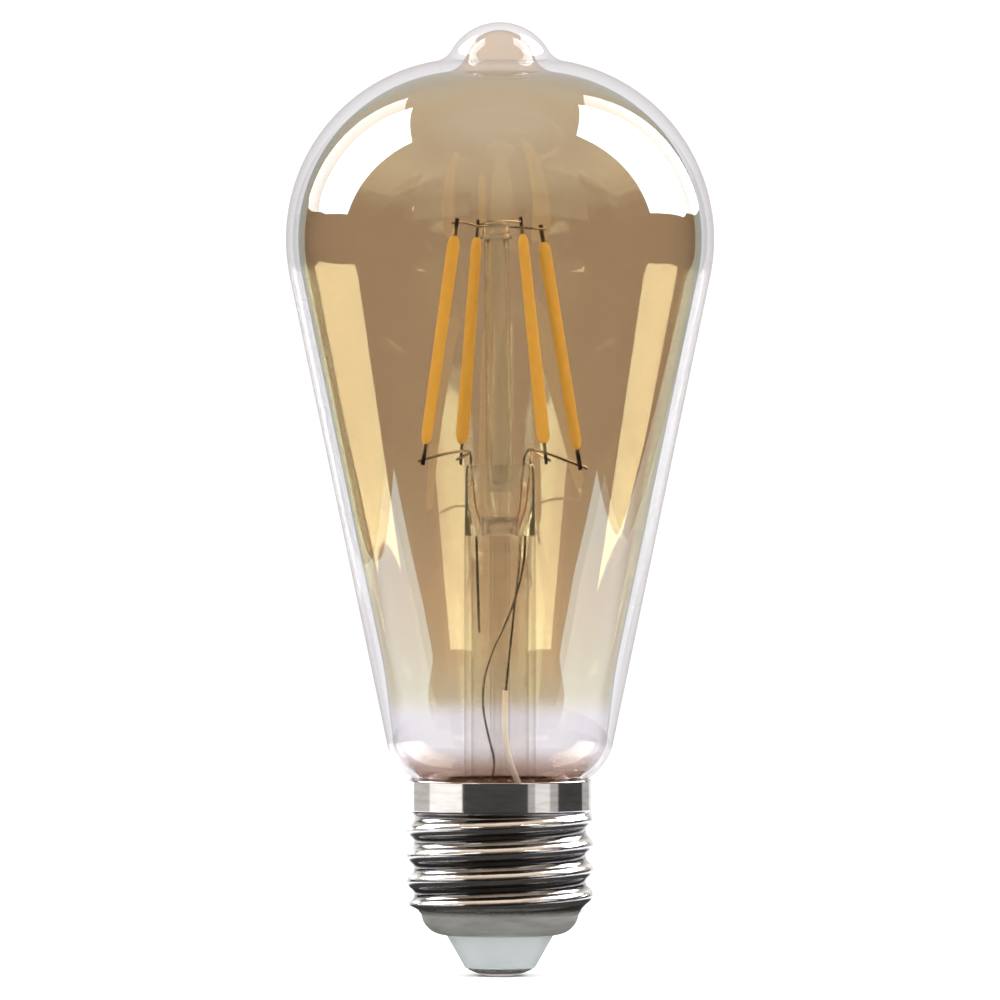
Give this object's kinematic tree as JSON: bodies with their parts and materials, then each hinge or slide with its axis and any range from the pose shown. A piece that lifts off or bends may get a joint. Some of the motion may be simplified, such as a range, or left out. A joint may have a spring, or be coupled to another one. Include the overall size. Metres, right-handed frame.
{
  "type": "smart LED filament light bulb",
  "caption": "Pear-shaped gold-tinted glass bulb with a tip, LED filaments on a glass stem, and an Edison screw cap with a radio driver inside.",
  "frame": {"origin": "middle of the centre contact's flat end face, at the bottom of the cap", "axes": "+Z along the lamp's axis, from the centre contact up to the tip of the glass; -Y is the front, +X to the right seen from the front"},
  "size_m": [0.0606, 0.0606, 0.135],
  "materials": {
    "tinted_glass": "clear glass with a thin golden see-through metal coating that fades out above the neck",
    "clear_glass": "clear polished glass",
    "phosphor": "satin silicone filled with orange phosphor",
    "substrate": "white ceramic strip",
    "led_chips": "polished bluish crystal",
    "plated_steel": "thin plated strip, slightly oxidised",
    "nickel_wire": "drawn nickel wire, heat-darkened",
    "dumet_wire": "copper-clad sealing wire, borated red-brown",
    "sleeve": "matte pale sleeving",
    "cap_metal": "bright nickel plate with a warm cast",
    "cap_insulator": "satin white moulding",
    "contact_metal": "tinned, slightly dull",
    "cement": "baked matt resin cement, pinkish brown",
    "circuit_board": "white solder mask",
    "capacitor": "glossy sleeve",
    "ferrite": "matt ferrite",
    "copper": "enamelled copper",
    "resistor": "lacquered body",
    "chip_package": "black moulded package",
    "radio_board": "green solder mask",
    "shield_can": "stamped tin-plated can",
    "gold_pins": "gold-plated pins",
    "live_insulation": "red insulation",
    "neutral_insulation": "white insulation"
  },
  "bodies": {
    "root": {"glass_bulb": "tinted_glass", "stem_flare": "clear_glass", "exhaust_tube": "clear_glass", "glass_pillar": "clear_glass", "pillar_button": "clear_glass", "filament_1_phosphor": "phosphor", "filament_1_substrate": "substrate", "filament_1_led_chips": "led_chips", "filament_1_end_tabs": "plated_steel", "filament_2_phosphor": "phosphor", "filament_2_substrate": "substrate", "filament_2_led_chips": "led_chips", "filament_2_end_tabs": "plated_steel", "filament_3_phosphor": "phosphor", "filament_3_substrate": "substrate", "filament_3_led_chips": "led_chips", "filament_3_end_tabs": "plated_steel", "filament_4_phosphor": "phosphor", "filament_4_substrate": "substrate", "filament_4_led_chips": "led_chips", "filament_4_end_tabs": "plated_steel", "bridge_wire_1_4": "nickel_wire", "bridge_wire_2_3": "nickel_wire", "series_link_wire": "nickel_wire", "series_branch_wire": "nickel_wire", "supply_lead_a": "nickel_wire", "supply_lead_b": "nickel_wire", "wire_knots": "nickel_wire", "dumet_wire_link": "dumet_wire", "dumet_wire_a": "dumet_wire", "dumet_wire_b": "dumet_wire", "link_wire_stub": "nickel_wire", "driver_lead_a": "nickel_wire", "driver_lead_b": "nickel_wire", "lead_sleeve": "sleeve", "cap_shell": "cap_metal", "cap_insulator": "cap_insulator", "centre_contact": "contact_metal", "contact_rivet": "contact_metal", "basing_cement": "cement", "driver_board": "circuit_board", "smoothing_capacitor": "capacitor", "choke_core": "ferrite", "choke_winding": "copper", "fusible_resistor": "resistor", "bridge_rectifier": "chip_package", "driver_chip": "chip_package", "radio_board": "radio_board", "radio_shield": "shield_can", "radio_header_pins": "gold_pins", "radio_antenna": "copper", "live_wire": "live_insulation", "neutral_wire": "neutral_insulation"}
  },
  "joints": []
}
